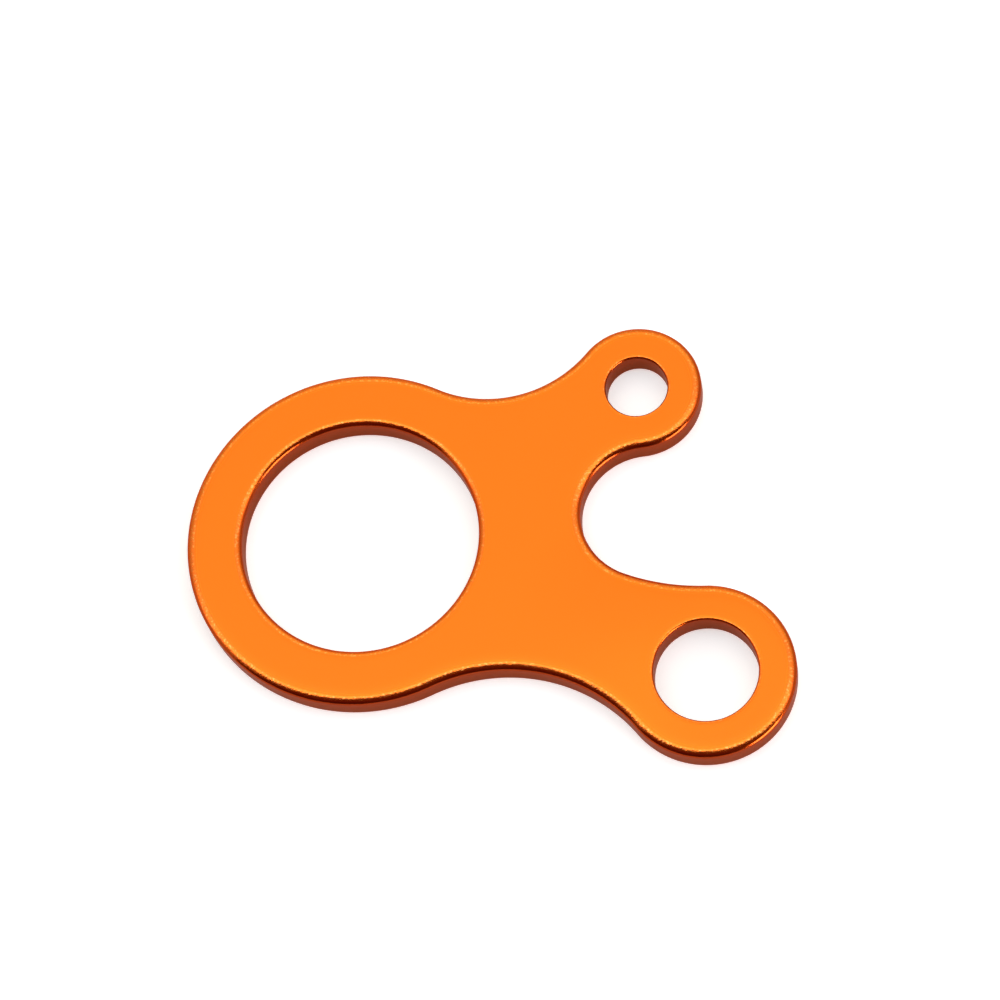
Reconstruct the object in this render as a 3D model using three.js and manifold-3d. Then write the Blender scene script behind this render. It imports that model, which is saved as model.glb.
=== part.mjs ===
// A three-hole cord adjuster plate, punched from aluminium sheet, tumbled and anodised orange.
// A carabiner or a turn of cord goes through the large ring. Cord is knotted or threaded through the two
// lobes, and is drawn into the notch between them.
// Millimetres, +Z up: the plate lies on z = 0, and +X runs from the ring half way between the two lobes.

import * as THREE from "three";
import { mergeVertices, toCreasedNormals } from "three/addons/utils/BufferGeometryUtils.js";
import Module from "manifold-3d";

// Sheet
const sheetThickness = 3;

// Ring: the large hole and the band of metal round it
const ringHoleDiameter = 24;
const ringBand = 5.6;

// Lobes: each hole, the band round it, and the distance of its centre from the ring's
const smallHoleDiameter = 6.2;
const smallLobeBand = 3.45;
const smallLobeReach = 31.75;
const middleHoleDiameter = 10.3;
const middleLobeBand = 3.75;
const middleLobeReach = 37.7;
const lobeSpreadDegrees = 52;

// Hollow flanks from the ring to each lobe
const smallFlankRadius = 12.5;
const middleFlankRadius = 17;

// Notch: its round bottom runs straight into the small lobe and stands off the middle lobe, where a wider
// hollow leads out of it. Its centre is set back from the line between the two lobes' centres.
const notchStandoff = 1.95;
const notchSetback = 1.75;
const notchMouthRadius = 22;

// Edges: each is a quarter of an ellipse, so far in over the flat face and so far down the wall. Punching
// and tumbling round the upper edge of the outline well over, that of the ring hole a little less, and leave
// the others crisp.
const roundedEdge = { inwards: 1, down: 0.6, steps: 4 };
const ringHoleEdge = { inwards: 0.85, down: 0.6, steps: 4 };
const undersideEdge = { inwards: 0.35, down: 0.25, steps: 2 };
const lobeHoleEdge = { inwards: 0.25, down: 0.25, steps: 2 };

// How far a punch or a blank passes the faces that it cuts
const punchOverrun = 1;

// How far a facet may lie from the true arc
const facetDeviation = 0.01;

const creaseDegrees = 30;

const manifold = await Module();
manifold.setup();

function polar(centre, distance, angle) {
  return new THREE.Vector2(distance, 0).rotateAround(new THREE.Vector2(), angle).add(centre);
}

function bearing(from, to) {
  return to.clone().sub(from).angle();
}

// Steps that keep a whole turn of this radius within the facet deviation.
function stepsPerTurn(radius) {
  return Math.ceil(Math.PI / Math.acos(1 - facetDeviation / radius));
}

// The notch's centre is further from the middle lobe's centre than from the small lobe's by as much as that
// lobe is larger and the notch stands off it. All such points lie on a hyperbola round the two centres, and
// the setback picks the one wanted.
function notchCentre(small, middle) {
  const halfSpan = small.centre.distanceTo(middle.centre) / 2;
  const halfDifference = (middle.radius + notchStandoff - small.radius) / 2;
  const minorAxis = Math.sqrt(halfSpan ** 2 - halfDifference ** 2);
  const along = halfSpan - halfDifference * Math.hypot(1, notchSetback / minorAxis);
  const distance = Math.hypot(along, notchSetback);
  const turn = Math.atan(notchSetback / along);
  return polar(small.centre, distance, bearing(small.centre, middle.centre) - turn);
}

// The hollow that leads from one circle into the next. Its centre is to the right of the way between theirs.
function hollowBetween(circle, next, radius) {
  const near = circle.radius + radius;
  const far = next.radius + radius;
  const span = circle.centre.distanceTo(next.centre);
  const cosine = (near ** 2 + span ** 2 - far ** 2) / (2 * near * span);
  const angle = bearing(circle.centre, next.centre) - Math.acos(cosine);
  return { centre: polar(circle.centre, near, angle), radius: -radius };
}

// The circles that the outline follows counter-clockwise, each touching the next. A bulge has a positive
// radius and a hollow a negative one.
function outlineCircles() {
  const halfSpread = THREE.MathUtils.degToRad(lobeSpreadDegrees) / 2;
  const origin = new THREE.Vector2();
  const ring = { centre: origin, radius: ringHoleDiameter / 2 + ringBand };
  const small = {
    centre: polar(origin, smallLobeReach, halfSpread),
    radius: smallHoleDiameter / 2 + smallLobeBand,
  };
  const middle = {
    centre: polar(origin, middleLobeReach, -halfSpread),
    radius: middleHoleDiameter / 2 + middleLobeBand,
  };
  const bottom = notchCentre(small, middle);
  const notch = { centre: bottom, radius: small.radius - bottom.distanceTo(small.centre) };
  return {
    ring,
    middleFlank: hollowBetween(ring, middle, middleFlankRadius),
    middle,
    notchMouth: hollowBetween(middle, notch, notchMouthRadius),
    notch,
    small,
    smallFlank: hollowBetween(small, ring, smallFlankRadius),
  };
}

// Where two circles of the outline touch.
function touchPoint(circle, next) {
  return circle.centre.clone().lerp(next.centre, circle.radius / (circle.radius - next.radius));
}

function outlineShape(circles) {
  const points = circles.flatMap((circle, index) => {
    const previous = circles.at(index - 1);
    const next = circles[(index + 1) % circles.length];
    const radius = Math.abs(circle.radius);
    const start = bearing(circle.centre, touchPoint(previous, circle));
    const end = bearing(circle.centre, touchPoint(circle, next));
    const clockwise = circle.radius < 0;
    const arc = new THREE.ArcCurve(circle.centre.x, circle.centre.y, radius, start, end, clockwise);
    const turns = arc.getLength() / (2 * Math.PI * radius);
    return arc.getPoints(Math.ceil(turns * stepsPerTurn(radius))).slice(0, -1);
  });
  return new THREE.Shape(points);
}

// The shape between two heights, with this edge at both.
function blank(shape, bottom, top, edge) {
  const geometry = new THREE.ExtrudeGeometry(shape, {
    depth: top - bottom - 2 * edge.down,
    bevelThickness: edge.down,
    bevelSize: edge.inwards,
    bevelOffset: -edge.inwards,
    bevelSegments: edge.steps,
  });
  return geometry.translate(0, 0, bottom + edge.down);
}

// The profile of a hole's wall where it opens into a face: from the wall out to the edge's full reach.
function mouthProfile(radius, edge) {
  return Array.from({ length: edge.steps + 1 }, (_, step) => {
    const turn = (step / edge.steps) * (Math.PI / 2);
    return {
      radius: radius + edge.inwards * (1 - Math.cos(turn)),
      depth: edge.down * (1 - Math.sin(turn)),
    };
  });
}

// A round punch on the hole's axis, as wide as the hole and flared out to each face along its edge.
function punch(diameter, centre, upperEdge, lowerEdge) {
  const radius = diameter / 2;
  const top = sheetThickness + punchOverrun;
  const upper = mouthProfile(radius, upperEdge);
  const lower = mouthProfile(radius, lowerEdge).reverse();
  const profile = [
    new THREE.Vector2(0, -punchOverrun),
    new THREE.Vector2(radius + lowerEdge.inwards, -punchOverrun),
    ...lower.map((point) => new THREE.Vector2(point.radius, point.depth)),
    ...upper.map((point) => new THREE.Vector2(point.radius, sheetThickness - point.depth)),
    new THREE.Vector2(radius + upperEdge.inwards, top),
    new THREE.Vector2(0, top),
  ];
  const geometry = new THREE.LatheGeometry(profile, stepsPerTurn(radius));
  return geometry.rotateX(Math.PI / 2).translate(centre.x, centre.y, 0);
}

// A closed geometry as a solid. Shared vertices are merged, and triangles that this collapses are dropped.
function solid(geometry) {
  const bare = geometry.clone();
  bare.deleteAttribute("normal");
  bare.deleteAttribute("uv");
  const merged = mergeVertices(bare);
  const corners = merged.index.array;
  const triangles = [];
  for (let i = 0; i < corners.length; i += 3) {
    const [a, b, c] = corners.slice(i, i + 3);
    if (a !== b && b !== c && c !== a) triangles.push(a, b, c);
  }
  const mesh = new manifold.Mesh({
    numProp: 3,
    vertProperties: merged.attributes.position.array,
    triVerts: new Uint32Array(triangles),
  });
  return new manifold.Manifold(mesh);
}

function geometryOf(made) {
  const { vertProperties, triVerts } = made.getMesh();
  const geometry = new THREE.BufferGeometry();
  geometry.setAttribute("position", new THREE.BufferAttribute(vertProperties, 3));
  geometry.setIndex(new THREE.BufferAttribute(triVerts, 1));
  return toCreasedNormals(geometry, THREE.MathUtils.degToRad(creaseDegrees));
}

// The blank is what two extrusions share: one rounds its upper edge and runs on below, and the other eases
// its lower edge and runs on above. The three punches then go through it.
function adjusterPlate() {
  const circles = outlineCircles();
  const shape = outlineShape(Object.values(circles));
  const below = roundedEdge.down + punchOverrun;
  const above = sheetThickness + undersideEdge.down + punchOverrun;
  const upperSide = solid(blank(shape, -below, sheetThickness, roundedEdge));
  const lowerSide = solid(blank(shape, 0, above, undersideEdge));
  const ringPunch = punch(ringHoleDiameter, circles.ring.centre, ringHoleEdge, undersideEdge);
  const smallPunch = punch(smallHoleDiameter, circles.small.centre, lobeHoleEdge, lobeHoleEdge);
  const middlePunch = punch(middleHoleDiameter, circles.middle.centre, lobeHoleEdge, lobeHoleEdge);
  const made = [ringPunch, smallPunch, middlePunch].reduce(
    (plate, cutter) => plate.subtract(solid(cutter)),
    upperSide.intersect(lowerSide),
  );
  const anodised = new THREE.MeshStandardMaterial({ color: 0xff8522, roughness: 0.4, metalness: 0.9 });
  const plate = new THREE.Mesh(geometryOf(made), anodised);
  plate.name = "adjuster_plate";
  return plate;
}

// The part's origin is under the middle of the plate.
const plate = adjusterPlate();
plate.geometry.computeBoundingBox();
const middle = plate.geometry.boundingBox.getCenter(new THREE.Vector3());
plate.position.set(-middle.x, -middle.y, 0);

const group = new THREE.Group();
group.add(plate);

export default group;
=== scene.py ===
# The looks of a cord adjuster plate: aluminium sheet, punched, tumbled and anodised orange.
import cmath
import math
from collections import namedtuple
from functools import reduce

import bpy
from mathutils import Matrix, Vector, noise
from mathutils.geometry import delaunay_2d_cdt

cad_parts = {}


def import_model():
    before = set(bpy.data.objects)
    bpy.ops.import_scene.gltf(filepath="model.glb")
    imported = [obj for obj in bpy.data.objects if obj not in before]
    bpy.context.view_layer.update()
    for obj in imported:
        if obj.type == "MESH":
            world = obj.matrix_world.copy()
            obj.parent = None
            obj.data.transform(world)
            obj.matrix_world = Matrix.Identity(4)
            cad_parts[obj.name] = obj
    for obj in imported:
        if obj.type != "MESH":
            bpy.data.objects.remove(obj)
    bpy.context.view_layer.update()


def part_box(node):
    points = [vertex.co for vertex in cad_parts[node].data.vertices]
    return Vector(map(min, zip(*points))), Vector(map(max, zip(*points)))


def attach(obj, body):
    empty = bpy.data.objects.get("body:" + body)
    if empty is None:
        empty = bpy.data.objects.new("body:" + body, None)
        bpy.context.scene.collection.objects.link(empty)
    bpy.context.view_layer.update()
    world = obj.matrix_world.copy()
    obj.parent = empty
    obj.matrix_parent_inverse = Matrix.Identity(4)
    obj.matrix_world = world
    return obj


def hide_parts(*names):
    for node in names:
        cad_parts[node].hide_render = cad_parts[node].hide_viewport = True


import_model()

mm = 0.001

# The plate's driving sizes. Places in plan are complex numbers, from the middle of the ring until the plate
# is centred on its origin.
ring_hole_diameter = 24 * mm
ring_band = 5.6 * mm
small_hole_diameter = 6.2 * mm
small_lobe_band = 3.45 * mm
small_lobe_reach = 31.75 * mm
middle_hole_diameter = 10.3 * mm
middle_lobe_band = 3.75 * mm
middle_lobe_reach = 37.7 * mm
lobe_spread_degrees = 52
small_flank_radius = 12.5 * mm
middle_flank_radius = 17 * mm
notch_standoff = 1.95 * mm
notch_setback = 1.75 * mm
notch_mouth_radius = 22 * mm

# An edge is a quarter of an ellipse, so far in over the face and so far down the wall. Before it the face
# already sinks a little over the roll's width, as sheet does round a punch. The wall's scuffed skin, which
# the finish also darkens with painted shade, begins where the edge has become this steep, in degrees.
Edge = namedtuple("Edge", "inwards down roll sink scuffed_from round_steps roll_steps")
outline_edge = Edge(inwards=0.85 * mm, down=0.45 * mm, roll=1.42 * mm, sink=0.11 * mm, scuffed_from=25,
                    round_steps=14, roll_steps=6)
ring_hole_edge = Edge(inwards=0.74 * mm, down=0.48 * mm, roll=0.5 * mm, sink=0.05 * mm, scuffed_from=33,
                      round_steps=14, roll_steps=3)
lobe_hole_edge = Edge(inwards=0.2 * mm, down=0.2 * mm, roll=0.45 * mm, sink=0.06 * mm, scuffed_from=40,
                      round_steps=10, roll_steps=4)
underside_edge = Edge(inwards=0.35 * mm, down=0.25 * mm, roll=0.3 * mm, sink=0.01 * mm, scuffed_from=28,
                      round_steps=5, roll_steps=2)
wall_steps = 8
step_round_a_loop = 0.12 * mm

# The finished walls stand so far inside the true arcs, so that nothing reaches past the solid's box.
inset = 0.003 * mm

# From the belly's height up, the wall leans in by so much where it would meet the upper face.
belly_height = 1.0 * mm
belly_lean = 0.02 * mm

# How far tumbling left the rounded edges uneven: the width of its largest dents, and how many layers of
# finer ones lie on them, each so many times finer and so much fainter
tumbled_unevenness = 0.012 * mm
tumbled_size = 1.1 * mm
tumbled_layers = 3
tumbled_layer_ratio = 2.2
tumbled_layer_fading = 0.6

# How deep and wide are the ridges that the punch left down the walls, how many times longer than wide they
# are, and how closely they keep to the upright part
ridge_depth = 0.006 * mm
ridge_width = 0.5 * mm
ridge_stretch = 12
ridge_focus = 4

Circle = namedtuple("Circle", "centre radius")
Rim = namedtuple("Rim", "point outwards")
Station = namedtuple("Station", "inwards drop tilt scuff")
Skin = namedtuple("Skin", "places tilts scuffs faces")


def polar(centre, distance, angle):
    return centre + cmath.rect(distance, angle)


def bearing(start, end):
    return cmath.phase(end - start)


def notch_centre(small, middle):
    """The point that stands off both lobes as the notch does. All such points lie on a hyperbola."""
    half_span = abs(middle.centre - small.centre) / 2
    half_difference = (middle.radius + notch_standoff - small.radius) / 2
    minor_axis = math.sqrt(half_span**2 - half_difference**2)
    along = half_span - half_difference * math.hypot(1, notch_setback / minor_axis)
    distance = math.hypot(along, notch_setback)
    turn = math.atan(notch_setback / along)
    return polar(small.centre, distance, bearing(small.centre, middle.centre) - turn)


def hollow_between(circle, following, radius):
    """The hollow that leads from one circle into the next, to the right of the way between them."""
    near = circle.radius + radius
    far = following.radius + radius
    span = abs(following.centre - circle.centre)
    cosine = (near**2 + span**2 - far**2) / (2 * near * span)
    angle = bearing(circle.centre, following.centre) - math.acos(cosine)
    return Circle(polar(circle.centre, near, angle), -radius)


def plate_circles():
    """The circles that the outline follows counter-clockwise, where a hollow has a negative radius."""
    half_spread = math.radians(lobe_spread_degrees) / 2
    ring = Circle(0j, ring_hole_diameter / 2 + ring_band)
    small_centre = cmath.rect(small_lobe_reach, half_spread)
    small = Circle(small_centre, small_hole_diameter / 2 + small_lobe_band)
    middle_centre = cmath.rect(middle_lobe_reach, -half_spread)
    middle = Circle(middle_centre, middle_hole_diameter / 2 + middle_lobe_band)
    bottom = notch_centre(small, middle)
    notch = Circle(bottom, small.radius - abs(bottom - small.centre))
    return {
        "ring": ring,
        "middle_flank": hollow_between(ring, middle, middle_flank_radius),
        "middle": middle,
        "notch_mouth": hollow_between(middle, notch, notch_mouth_radius),
        "notch": notch,
        "small": small,
        "small_flank": hollow_between(small, ring, small_flank_radius),
    }


def touch_point(circle, following):
    share = circle.radius / (circle.radius - following.radius)
    return circle.centre + (following.centre - circle.centre) * share


def arc(circle, start, end):
    """Rim points from one angle to another: counter-clockwise on a bulge and clockwise in a hollow."""
    way = math.copysign(1, circle.radius)
    turn = (end - start) * way % math.tau or math.tau
    steps = math.ceil(turn * abs(circle.radius) / step_round_a_loop)
    angles = [start + way * turn * step / steps for step in range(steps)]
    points = [polar(circle.centre, abs(circle.radius), angle) for angle in angles]
    return [Rim(point, (point - circle.centre) / circle.radius) for point in points]


def outline_loop(circles):
    loop = []
    for index, circle in enumerate(circles):
        start = touch_point(circles[index - 1], circle)
        end = touch_point(circle, circles[(index + 1) % len(circles)])
        loop += arc(circle, bearing(circle.centre, start), bearing(circle.centre, end))
    return loop


def hole_loop(centre, diameter):
    return arc(Circle(centre, -diameter / 2), 0, 0)


def middle_of(loop):
    across = [rim.point.real for rim in loop]
    along = [rim.point.imag for rim in loop]
    return complex((min(across) + max(across)) / 2, (min(along) + max(along)) / 2)


def edge_stations(edge):
    """The edge's profile from the flat face to the wall: how far in, how far down, how steep, how scuffed and
    shaded.
    """
    reach = edge.inwards + edge.roll
    stations = []

    def add(inwards, round_drop, rise, run):
        """Adds a station of the round, with the sinking face's own drop and slope added to it."""
        gone = 1 - inwards / reach
        slope = 3 * edge.sink / reach * gone**2
        tilt = math.atan2(rise + slope * run, run)
        scuff = (math.degrees(tilt) - edge.scuffed_from) / (90 - edge.scuffed_from)
        stations.append(Station(inwards, round_drop + edge.sink * gone**3, tilt, max(0, scuff)))

    for step in range(edge.roll_steps):
        add(reach - edge.roll * step / edge.roll_steps, 0, 0, 1)
    for step in range(edge.round_steps + 1):
        sine = math.sin(math.pi / 2 * step / edge.round_steps)
        cosine = math.cos(math.pi / 2 * step / edge.round_steps)
        add(edge.inwards * (1 - sine), edge.down * (1 - cosine), edge.down * sine, edge.inwards * cosine)
    return stations


def wall_profile(upper_edge, lower_edge, thickness):
    """Stations from the upper face to the lower one, with the height in place of the drop."""
    upper = [s._replace(drop=thickness - s.drop) for s in edge_stations(upper_edge)]
    lower = [s._replace(tilt=math.pi - s.tilt) for s in reversed(edge_stations(lower_edge))]
    top = upper[-1].drop
    bottom = lower[0].drop
    heights = [top + (bottom - top) * step / wall_steps for step in range(1, wall_steps)]
    straight = upper + [Station(0, height, math.pi / 2, 1) for height in heights] + lower
    return [leaning(station, thickness) for station in straight]


def leaning(station, thickness):
    """The station moved in as the wall's belly has it, most where the surface is steepest."""
    share = max(0, station.drop - belly_height) / (thickness - belly_height)
    lean = belly_lean * share**2
    slope = 2 * belly_lean * share / (thickness - belly_height)
    tilt = station.tilt - math.atan(slope) * math.sin(station.tilt) ** 2
    return station._replace(inwards=station.inwards + lean, tilt=tilt)


def unevenness(place, tilt):
    """How far tumbling and punching left the surface from its true form. The flat faces stay true."""
    rounded = max(0, math.sin(2 * tilt))
    upright = max(0, -math.cos(2 * tilt)) ** ridge_focus
    tumbled = noise.fractal(place / tumbled_size, tumbled_layer_fading, tumbled_layer_ratio, tumbled_layers)
    stretched = Vector((place.x, place.y, place.z / ridge_stretch)) / ridge_width
    ridges = noise.noise(stretched)
    return (tumbled_unevenness * rounded * (tumbled - 1) + ridge_depth * upright * (ridges - 1)) / 2


def add_wall(skin, loop, profile, centre):
    """Adds a wall to the skin, and gives its uppermost and its lowest ring of points."""
    first = len(skin.places)
    count = len(loop)
    for inwards, height, tilt, scuff in profile:
        for rim in loop:
            flat = rim.point - rim.outwards * (inwards + inset) - centre
            place = Vector((flat.real, flat.imag, height))
            across = rim.outwards * math.sin(tilt)
            normal = Vector((across.real, across.imag, math.cos(tilt)))
            skin.places.append(place + normal * unevenness(place, tilt))
            skin.tilts.append(math.degrees(tilt))
            skin.scuffs.append(scuff)
    rings = [[first + ring * count + step for step in range(count)] for ring in range(len(profile))]
    for ring, below in zip(rings, rings[1:]):
        for step in range(count):
            ahead = (step + 1) % count
            skin.faces.append((ring[step], below[step], below[ahead], ring[ahead]))
    return rings[0], rings[-1]


def flat_face(places, loops):
    """Triangles that fill the first loop round the others, which are holes."""
    corners = [corner for loop in loops for corner in loop]
    order = {corner: index for index, corner in enumerate(corners)}
    loop_of = {corner: index for index, loop in enumerate(loops) for corner in loop}
    flat = [Vector((places[corner].x / mm, places[corner].y / mm)) for corner in corners]
    edges = [(order[a], order[b]) for loop in loops for a, b in zip(loop, loop[1:] + loop[:1])]
    inside_only = 1
    closeness = 1e-6
    _, _, triangles, sources, _, _ = delaunay_2d_cdt(flat, edges, [], inside_only, closeness)
    faces = [tuple(corners[sources[corner][0]] for corner in triangle) for triangle in triangles]
    # A hole bulges outwards all round, so a triangle between three points of its loop lies in it.
    holes = [{index} for index in range(1, len(loops))]
    return [face for face in faces if {loop_of[corner] for corner in face} not in holes]


def plate_mesh(name, thickness):
    """The plate's skin, with its steepness in degrees and its share of scuff and painted shade kept at each
    point for the finish.
    """
    circles = plate_circles()
    outline = outline_loop(list(circles.values()))
    centre = middle_of(outline)
    walls = [
        (outline, outline_edge, underside_edge),
        (hole_loop(circles["ring"].centre, ring_hole_diameter), ring_hole_edge, underside_edge),
        (hole_loop(circles["middle"].centre, middle_hole_diameter), lobe_hole_edge, lobe_hole_edge),
        (hole_loop(circles["small"].centre, small_hole_diameter), lobe_hole_edge, lobe_hole_edge),
    ]
    skin = Skin([], [], [], [])
    ends = []
    for loop, upper_edge, lower_edge in walls:
        ends.append(add_wall(skin, loop, wall_profile(upper_edge, lower_edge, thickness), centre))
    upper_rings = [upper for upper, lower in ends]
    lower_rings = [lower for upper, lower in ends]
    skin.faces.extend(flat_face(skin.places, upper_rings))
    skin.faces.extend(tuple(reversed(face)) for face in flat_face(skin.places, lower_rings))
    mesh = bpy.data.meshes.new(name)
    mesh.from_pydata(skin.places, [], skin.faces)
    mesh.attributes.new("tilt", "FLOAT", "POINT").data.foreach_set("value", skin.tilts)
    mesh.attributes.new("scuff", "FLOAT", "POINT").data.foreach_set("value", skin.scuffs)
    mesh.shade_smooth()
    return mesh


# Anodised orange: its colours, from the flat face over the shoulder, which has a painted highlight and
# painted glints, and down the round, which has painted shade, to the darker wall, whose tone is partly
# painted shade
face_colour = (1.0, 0.198, 0.0115, 1)
painted_highlight_colour = (1.0, 0.213, 0.024, 1)
painted_glint_colour = (1.0, 0.35, 0.08, 1)
painted_shade_colour = (0.86, 0.12, 0.0055, 1)
painted_underside_shade_colour = (0.42, 0.047, 0.0037, 1)
wall_colour = (0.235, 0.041, 0.0135, 1)
upper_wall_colour = (0.3, 0.0426, 0.0128, 1)

# Where each begins and is full: by steepness in degrees, by scuff and shade, which goes from 0 where the
# scuffed skin with its painted shade begins to 1 on the upright wall, and by height
shoulder_begins = (3, 11)
shoulder_ends = (26, 40)
orange_deepens = (15, 42)
round_darkens = (0, 0.36)
wall_dulls = (0.38, 0.78)
wall_reddens = (0.9 * mm, 2.5 * mm)

# Grain and painted glints. Where the grain is low, the shoulder still has this share of its painted
# highlight.
grain_size = 0.27 * mm
grain_roughness = 0.6
grain_breaks_highlight = (0.35, 0.6)
least_painted_highlight = 0.6
glint_size = 0.24 * mm
glints_show = (0.53, 0.68)

# Dullness: tumbling leaves the edge shinier than the face, and patches vary a little
edge_shines = (0.3, 7)
face_roughness = 0.32
edge_roughness = 0.19
wall_dullness = 0.25
patch_size = 5 * mm
patch_dullness = 0.05

# Relief, in grain heights: of the grain on the face, on the shoulder and, as a share, on the steep part, and
# of the streaks down the wall
grain_height = 0.0035 * mm
grain_rises = (0.2, 6)
face_grain = 1.5
shoulder_grain = 6.5
steep_grain_share = 0.3
streak_width = 0.12 * mm
streak_stretch = 0.06
streak_relief = 1.2

# The upper face bows very slightly about this point.
bow_centre = (16.5 * mm, -9 * mm, 3 * mm)
bow_reach = 14 * mm
bow_height = 0.4 * mm

# The metal's tint at a grazing angle, and the thin clear seal over the anodising
grazing_tint = (0.84, 0.5, 0.4, 1)
seal_weight = 0.1
seal_roughness = 0.12
seal_refraction = 1.5


class Tree:
    """Adds nodes to a material's tree, each with its settings and its inputs in one call. An input goes by
    its socket's name, with _ for a space, or by n and the socket's number."""

    def __init__(self, tree):
        self.tree = tree
        self.tree.nodes.clear()

    def add(self, kind, settings=None, **inputs):
        node = self.tree.nodes.new(kind)
        for key, value in (settings or {}).items():
            setattr(node, key, value)
        for key, value in inputs.items():
            self.put(node, key.replace("_", " "), value)
        return node

    def put(self, node, key, value):
        socket = node.inputs[int(key[1:])] if key[0] == "n" and key[1:].isdigit() else node.inputs[key]
        if isinstance(value, bpy.types.NodeSocket):
            self.tree.links.new(value, socket)
        else:
            socket.default_value = value

    def math(self, operation, first, second=0.0):
        return self.add("ShaderNodeMath", {"operation": operation}, n0=first, n1=second).outputs[0]

    def product(self, *factors):
        return reduce(lambda made, factor: self.math("MULTIPLY", made, factor), factors)

    def total(self, *terms):
        return reduce(lambda made, term: self.math("ADD", made, term), terms)

    def ramp(self, value, start, end, low=0.0, high=1.0):
        """Goes smoothly from low to high while value goes from start to end."""
        settings = {"interpolation_type": "SMOOTHSTEP"}
        node = self.add("ShaderNodeMapRange", settings, n0=value, n1=start, n2=end, n3=low, n4=high)
        return node.outputs["Result"]

    def mix_colour(self, share, first, second):
        node = self.add("ShaderNodeMix", {"data_type": "RGBA"}, n0=share, n6=first, n7=second)
        return node.outputs[2]

    def noise(self, coordinates, size, detail=2.0, roughness=0.5):
        inputs = {"Vector": coordinates, "Scale": 1 / size, "Detail": detail, "Roughness": roughness}
        return self.add("ShaderNodeTexNoise", **inputs).outputs["Fac"]

    def place(self):
        return self.add("ShaderNodeTexCoord").outputs["Object"]

    def kept(self, name):
        """The value that the mesh keeps under this name at each point."""
        return self.add("ShaderNodeAttribute", {"attribute_name": name}).outputs["Fac"]

    def surface(self, shader):
        self.add("ShaderNodeOutputMaterial", Surface=shader.outputs[0])


def new_material(name):
    material = bpy.data.materials.new(name)
    material.use_nodes = True
    return material, Tree(material.node_tree)


def anodised_orange():
    material, tree = new_material("anodised_orange")
    place = tree.place()
    height = tree.add("ShaderNodeSeparateXYZ", Vector=place).outputs["Z"]
    steep = tree.math("SUBTRACT", 90, tree.math("ABSOLUTE", tree.math("SUBTRACT", tree.kept("tilt"), 90)))
    scuff = tree.kept("scuff")
    shoulder = tree.product(tree.ramp(steep, *shoulder_begins), tree.ramp(steep, *shoulder_ends, 1, 0))
    wall = tree.ramp(scuff, *wall_dulls)
    grain = tree.noise(place, grain_size, roughness=grain_roughness)

    # Painted highlight: the shoulder is paler and bluer, as under a bright light, broken up by the grain.
    painted_highlight = tree.product(shoulder, tree.ramp(grain, *grain_breaks_highlight, least_painted_highlight, 1))
    # Painted glints: pale yellow dots on the shoulder, where a finer noise is high.
    painted_glints = tree.product(shoulder, tree.ramp(tree.noise(place, glint_size, detail=1), *glints_show))
    # The wall's own darker, duller tone of its sheared skin, partly painted shade, darker towards the foot.
    wall_tone_and_shade = tree.mix_colour(tree.ramp(height, *wall_reddens), wall_colour, upper_wall_colour)
    colour = tree.mix_colour(painted_highlight, face_colour, painted_highlight_colour)
    colour = tree.mix_colour(painted_glints, colour, painted_glint_colour)
    # Painted shade: the round turns a darker, deeper red-orange as it steepens.
    colour = tree.mix_colour(tree.ramp(steep, *orange_deepens), colour, painted_shade_colour)
    # Painted shade: past the steepness where the scuffed skin begins, the round darkens further towards the
    # wall.
    colour = tree.mix_colour(tree.ramp(scuff, *round_darkens), colour, painted_underside_shade_colour)
    colour = tree.mix_colour(wall, colour, wall_tone_and_shade)

    shine = tree.ramp(steep, *edge_shines, face_roughness, edge_roughness)
    patches = tree.math("SUBTRACT", tree.noise(place, patch_size), 0.5)
    roughness = tree.total(shine, tree.product(wall, wall_dullness), tree.product(patches, patch_dullness))

    grain_relief = tree.product(
        tree.ramp(steep, *grain_rises, face_grain, shoulder_grain),
        tree.ramp(steep, *shoulder_ends, 1, steep_grain_share),
        tree.math("SUBTRACT", grain, 0.5),
    )
    off_bow = tree.add("ShaderNodeVectorMath", {"operation": "DISTANCE"}, n0=place, n1=bow_centre)
    bow = tree.ramp(off_bow.outputs["Value"], 0, bow_reach, bow_height / grain_height, 0)
    standing = tree.add("ShaderNodeMapping", Vector=place, Scale=(1, 1, streak_stretch)).outputs[0]
    streaks = tree.product(tree.noise(standing, streak_width), wall, streak_relief)
    relief = tree.total(grain_relief, bow, streaks)
    bump = tree.add("ShaderNodeBump", Height=relief, Distance=grain_height, Strength=1)

    metal = tree.add("ShaderNodeBsdfPrincipled", Base_Color=colour, Roughness=roughness, Metallic=1,
                     Specular_Tint=grazing_tint, Normal=bump.outputs[0], Coat_Weight=seal_weight,
                     Coat_Roughness=seal_roughness, Coat_IOR=seal_refraction)
    tree.surface(metal)
    return material


def adjuster_plate():
    low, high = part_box("adjuster_plate")
    mesh = plate_mesh("adjuster_plate_finish", high.z - low.z)
    plate = bpy.data.objects.new("adjuster_plate_finish", mesh)
    bpy.context.scene.collection.objects.link(plate)
    mesh.materials.append(anodised_orange())
    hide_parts("adjuster_plate")
    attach(plate, "root")


# Studio: a white sweep under a wide softbox, with a dark curtain behind the camera and a low lamp beside it.
# The places in it are in metres from the middle of the plate, x to the right and y away from the camera.
white = (1, 1, 1, 1)

# The floor shows from above only, and lies a hair below the plate.
floor_radius = 3.5
floor_gap = 0.01 * mm
sweep_radius = 0.5
sweep_height = 0.6
sweep_turns = 96
sweep_curve_steps = 12

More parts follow.
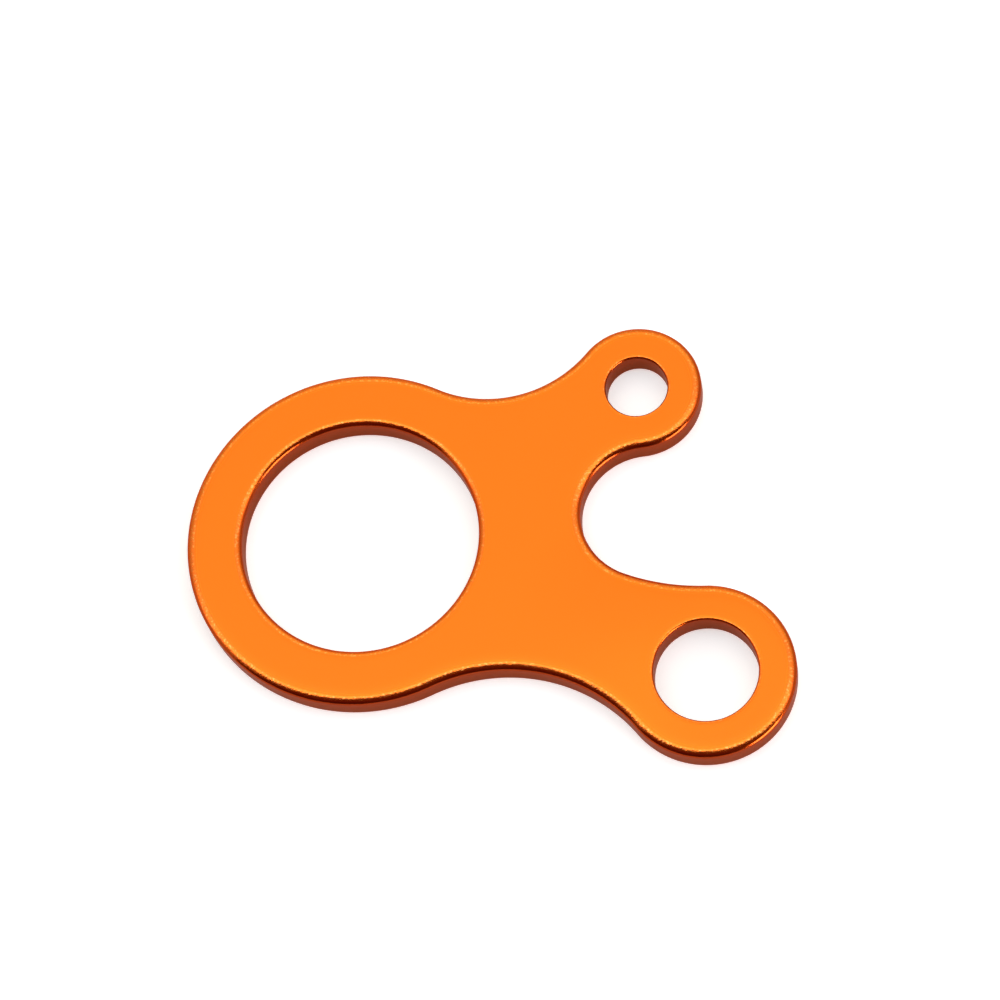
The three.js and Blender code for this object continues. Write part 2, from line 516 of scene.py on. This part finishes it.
# Away from the plate its paint is darker and its glow stronger. Only the camera and mirror images meet the
# glow, and the camera meets a little more of it.
near_floor_colour = (0.82, 0.82, 0.82, 1)
far_floor_colour = (0.38, 0.38, 0.38, 1)
floor_changes = (0.2, 0.9)
floor_lift = (0.1, 0.5)
glow_grows = (0.3, 1.0)
floor_glow = (0.42, 0.6)

softbox_height = 0.9
softbox_near = -0.3
softbox_far = 3.0
softbox_left = -2.0
softbox_right = 2.6
softbox_side_colour = (1, 0.82, 0.78, 1)
softbox_far_colour = (1, 0.96, 0.66, 1)

curtain_distance = 0.5
curtain_half_width = 1.3
curtain_bottom = 0.01
curtain_top = 1.5625
# The curtain's glow is painted light: the dim red-brown of lit dark cloth, paler at its foot.
curtain_colour = (0.105, 0.022, 0.006, 1)
curtain_foot_colour = (0.47, 0.36, 0.36, 1)
curtain_foot_height = 0.16

# The lamp's angles are in degrees. Its level is how bright it is to look at.
lamp_azimuth = -40
lamp_elevation = 12
lamp_distance = 0.45
lamp_width = 0.24
lamp_height = 0.14
lamp_level = 12.5

air_colour = (0.62, 0.6, 0.6, 1)


def emission(name, shade):
    """A material that only shines, with the colour and strength that shade gives for its tree."""
    material, tree = new_material(name)
    colour, strength = shade(tree)
    tree.surface(tree.add("ShaderNodeEmission", Color=colour, Strength=strength))
    return material


def stage_piece(name, corners, faces, material, seen=True):
    mesh = bpy.data.meshes.new(name)
    mesh.from_pydata(corners, [], faces)
    mesh.shade_smooth()
    mesh.materials.append(material)
    piece = bpy.data.objects.new(name, mesh)
    bpy.context.scene.collection.objects.link(piece)
    piece.visible_camera = seen


def floor_paint():
    material, tree = new_material("white_floor")
    rays = tree.add("ShaderNodeLightPath").outputs
    mirrored = tree.math("MAXIMUM", rays["Is Glossy Ray"], rays["Is Transmission Ray"])
    looked_at = tree.math("MAXIMUM", rays["Is Camera Ray"], mirrored)
    place = tree.place()
    distance = tree.add("ShaderNodeVectorMath", {"operation": "LENGTH"}, n0=place).outputs["Value"]
    colour = tree.mix_colour(tree.ramp(distance, *floor_changes), near_floor_colour, far_floor_colour)
    paint = tree.add("ShaderNodeBsdfDiffuse", Color=colour)
    strength = tree.total(
        tree.product(looked_at, tree.ramp(distance, *glow_grows, *floor_glow)),
        tree.product(rays["Is Camera Ray"], tree.ramp(distance, *floor_changes, *floor_lift)),
    )
    glow = tree.add("ShaderNodeEmission", Color=white, Strength=strength)
    both = tree.add("ShaderNodeAddShader", n0=paint.outputs[0], n1=glow.outputs[0])
    from_below = tree.add("ShaderNodeNewGeometry").outputs["Backfacing"]
    clear = tree.add("ShaderNodeBsdfTransparent")
    tree.surface(tree.add("ShaderNodeMixShader", n0=from_below, n1=both.outputs[0], n2=clear.outputs[0]))
    return material


def white_sweep():
    """A round floor that curves up into a wall all round."""
    profile = [(floor_radius - sweep_radius, 0)]
    for step in range(1, sweep_curve_steps + 1):
        angle = math.pi / 2 * step / sweep_curve_steps
        out = floor_radius - sweep_radius * (1 - math.sin(angle))
        profile.append((out, sweep_radius * (1 - math.cos(angle))))
    profile.append((floor_radius, sweep_height))
    corners = []
    for out, up in profile:
        for turn in range(sweep_turns):
            flat = cmath.rect(out, math.tau * turn / sweep_turns)
            corners.append((flat.real, flat.imag, up - floor_gap))
    faces = []
    for first in range(0, len(corners) - sweep_turns, sweep_turns):
        above = first + sweep_turns
        for turn in range(sweep_turns):
            ahead = (turn + 1) % sweep_turns
            faces.append((first + turn, above + turn, above + ahead, first + ahead))
    faces.append(tuple(range(sweep_turns)))
    stage_piece("white_sweep", corners, faces, floor_paint())


def softbox_shade(tree):
    """Brightest in its near part, with a strip along the near edge and a patch beyond the plate's middle. It
    fades in at the near edge, and it is dimmer at the sides and warmer and dimmer far off."""
    place = tree.add("ShaderNodeSeparateXYZ", Vector=tree.place()).outputs
    x = place["X"]
    y = place["Y"]
    off_middle = tree.math("ABSOLUTE", x)
    near_part = tree.product(tree.ramp(y, 0.16, 0.38, 1, 0), tree.ramp(x, 0.9, 1.7, 1, 0))
    panel = tree.ramp(near_part, 0, 1, 0.89, 1.5)
    near_strip = tree.ramp(y, -0.13, 0.12, 1, 0)
    patch = tree.product(
        tree.ramp(y, 0.4, 0.62),
        tree.ramp(y, 0.8, 1.6, 1, 0),
        tree.ramp(off_middle, 0.2, 1, 0.5, 0),
    )
    near_edge = tree.ramp(y, -0.3, -0.08)
    left_side = tree.ramp(x, -1.5, -0.5, 0.74, 1)
    right_side = tree.ramp(x, 0.6, 2, 1, 0.7)
    far_side = tree.ramp(y, 1.2, 2.6, 1, 0.85)
    strength = tree.total(panel, near_strip, patch)
    strength = tree.product(strength, left_side, right_side, far_side, near_edge)
    colour = tree.mix_colour(tree.ramp(off_middle, 0.4, 1.3), white, softbox_side_colour)
    colour = tree.mix_colour(tree.ramp(y, 0.42, 0.75), colour, softbox_far_colour)
    return colour, strength


def softbox():
    """Overhead, and seen only in what it lights."""
    corners = [
        (softbox_left, softbox_near, softbox_height),
        (softbox_right, softbox_near, softbox_height),
        (softbox_right, softbox_far, softbox_height),
        (softbox_left, softbox_far, softbox_height),
    ]
    light = emission("softbox_light", softbox_shade)
    stage_piece("softbox", corners, [(0, 3, 2, 1)], light, seen=False)


def curtain_shade(tree):
    """Dark cloth, with painted light: it glows dimly as lit cloth does, and more with the floor's light on
    its foot.
    """
    height = tree.add("ShaderNodeSeparateXYZ", Vector=tree.place()).outputs["Z"]
    foot = tree.ramp(height, 0, curtain_foot_height, 1, 0)
    return tree.mix_colour(foot, curtain_colour, curtain_foot_colour), 1


def dark_curtain():
    """Behind the camera, and seen only in what mirrors it."""
    corners = [
        (-curtain_half_width, -curtain_distance, curtain_bottom),
        (curtain_half_width, -curtain_distance, curtain_bottom),
        (curtain_half_width, -curtain_distance, curtain_top),
        (-curtain_half_width, -curtain_distance, curtain_top),
    ]
    cloth = emission("dark_cloth", curtain_shade)
    stage_piece("dark_curtain", corners, [(0, 1, 2, 3)], cloth, seen=False)


def low_lamp():
    """A flat lamp, aimed at the plate."""
    azimuth = math.radians(lamp_azimuth)
    elevation = math.radians(lamp_elevation)
    flat = cmath.rect(math.cos(elevation), azimuth)
    towards = Vector((flat.real, flat.imag, math.sin(elevation)))
    data = bpy.data.lights.new("low_lamp", "AREA")
    data.shape = "RECTANGLE"
    data.size = lamp_width
    data.size_y = lamp_height
    data.energy = lamp_level * math.pi * lamp_width * lamp_height
    made = bpy.data.objects.new("low_lamp", data)
    made.location = towards * lamp_distance
    made.rotation_euler = towards.to_track_quat("Z", "Y").to_euler()
    made.visible_camera = False
    bpy.context.scene.collection.objects.link(made)


def world():
    made = bpy.data.worlds.new("studio_air")
    made.use_nodes = True
    made.node_tree.nodes["Background"].inputs["Color"].default_value = air_colour
    bpy.context.scene.world = made


# Camera: aimed at a point on the floor from this azimuth and elevation in degrees, rolled, and so far away.
# Its focal length is a multiple of the picture's width.
camera_azimuth = 15.015
camera_elevation = 68.182
camera_roll = -18.217
camera_aim = Vector((1.406 * mm, 6.409 * mm, 0))
camera_distance = 363.50 * mm
focal_share = 3.5996
nearest_seen = 0.01
farthest_seen = 10


def camera():
    azimuth = math.radians(camera_azimuth)
    elevation = math.radians(camera_elevation)
    back = Vector((
        math.sin(azimuth) * math.cos(elevation),
        -math.cos(azimuth) * math.cos(elevation),
        math.sin(elevation),
    ))
    level = Vector((math.cos(azimuth), math.sin(azimuth), 0))
    rise = back.cross(level)
    roll = math.radians(camera_roll)
    right = level * math.cos(roll) + rise * math.sin(roll)
    up = back.cross(right)
    data = bpy.data.cameras.new("camera")
    data.lens = focal_share * data.sensor_width
    data.clip_start = nearest_seen
    data.clip_end = farthest_seen
    made = bpy.data.objects.new("camera", data)
    turned = Matrix((right, up, back)).transposed().to_4x4()
    made.matrix_world = Matrix.Translation(camera_aim + back * camera_distance) @ turned
    bpy.context.scene.collection.objects.link(made)
    bpy.context.scene.camera = made


camera()
adjuster_plate()
white_sweep()
softbox()
dark_curtain()
low_lamp()
world()
bpy.context.scene.view_settings.view_transform = "Standard"
